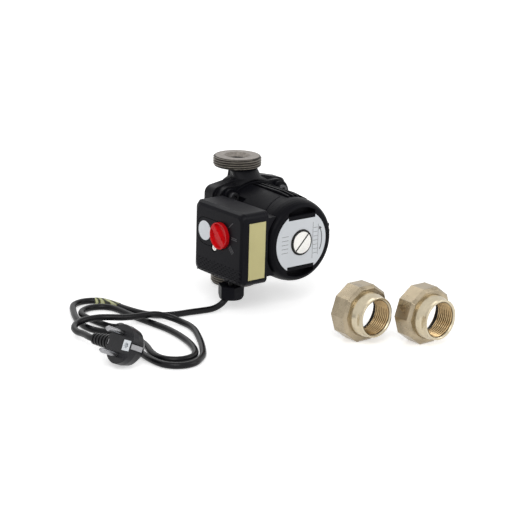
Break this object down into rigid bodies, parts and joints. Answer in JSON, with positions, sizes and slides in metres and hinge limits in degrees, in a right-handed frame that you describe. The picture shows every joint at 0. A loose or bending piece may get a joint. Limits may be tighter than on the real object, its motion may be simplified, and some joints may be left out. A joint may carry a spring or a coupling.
{
  "type": "circulation pump",
  "caption": "Wet-rotor circulation pump with screwed ports, speed knob, terminal box, mains lead and loose brass pipe unions.",
  "frame": {"origin": "centre of the lower port's sealing face", "axes": "+Z along the pipe axis to the upper port; the motor axis runs along -Y; the terminal box is on the -X side"},
  "size_m": [0.3133, 0.2849, 0.1302],
  "materials": {
    "cast_iron_black": "black paint, satin",
    "rubber_black": "matte",
    "motor_paint": "black powder coat, satin",
    "screw_black": "blackened steel",
    "core_steel": "laminated steel",
    "copper": "enamelled copper",
    "stainless": "drawn stainless steel",
    "ceramic": "polished ceramic",
    "carbon": "carbon, matte",
    "impeller_plastic": "moulded, matte",
    "plate_white": "matte",
    "nickel": "nickel plated",
    "box_plastic": "satin black",
    "block_plastic": "matte",
    "can_aluminium": "drawn",
    "knob_red": "gloss red",
    "label_yellow": "matte film",
    "cord_black": "satin black",
    "tag_yellow": "paper film",
    "plug_plastic": "satin black",
    "brass": "turned and cast brass"
  },
  "bodies": {
    "pump": {"pump_housing": "cast_iron_black", "housing_gasket": "rubber_black", "stator_housing": "motor_paint", "housing_screws": "screw_black", "stator_core": "core_steel", "stator_windings": "copper", "rotor_can": "stainless", "bearing_plate": "stainless", "front_bearing": "carbon", "rear_bearing": "carbon", "neck_ring": "stainless", "motor_end_cap": "motor_paint", "name_plate": "plate_white", "vent_seal": "rubber_black", "terminal_box_base": "box_plastic", "terminal_box_cover": "box_plastic", "terminal_block": "block_plastic", "capacitor": "can_aluminium", "speed_switch": "block_plastic", "speed_marks": "plate_white", "cover_screw": "nickel", "cover_sticker": "plate_white", "side_label": "label_yellow", "gland_body": "box_plastic", "gland_seal": "rubber_black", "gland_nut": "box_plastic", "power_cord": "cord_black", "cord_tag": "tag_yellow", "cord_relief": "cord_black", "plug_body": "plug_plastic", "plug_pins": "nickel", "plug_earth_clips": "nickel", "plug_insert": "plate_white", "union_tail_a": "brass", "union_gasket_a": "rubber_black", "union_tail_b": "brass", "union_gasket_b": "rubber_black"},
    "rotor": {"shaft": "ceramic", "rotor_core": "core_steel", "thrust_ring": "rubber_black", "impeller": "impeller_plastic"},
    "knob": {"speed_knob": "knob_red"},
    "vent": {"vent_screw": "nickel"},
    "nut_a": {"union_nut_a": "brass"},
    "nut_b": {"union_nut_b": "brass"}
  },
  "joints": [
    {"name": "rotor_spin", "type": "hinge", "parent": "pump", "child": "rotor", "pos_m": [0, 0, 0.065], "axis": [0, -1, 0], "continuous": true},
    {"name": "speed_select", "type": "hinge", "parent": "pump", "child": "knob", "pos_m": [-0.072, -0.0695, 0.075], "axis": [-1, 0, 0], "range_deg": [0, 90]},
    {"name": "vent_turn", "type": "hinge", "parent": "pump", "child": "vent", "pos_m": [0, -0.1, 0.065], "axis": [0, -1, 0], "continuous": true},
    {"name": "nut_a_spin", "type": "hinge", "parent": "pump", "child": "nut_a", "pos_m": [-0.0125, -0.211, 0.026], "axis": [0, -1, 0], "continuous": true},
    {"name": "nut_b_spin", "type": "hinge", "parent": "pump", "child": "nut_b", "pos_m": [0.031, -0.248, 0.026], "axis": [0, -1, 0], "continuous": true}
  ]
}
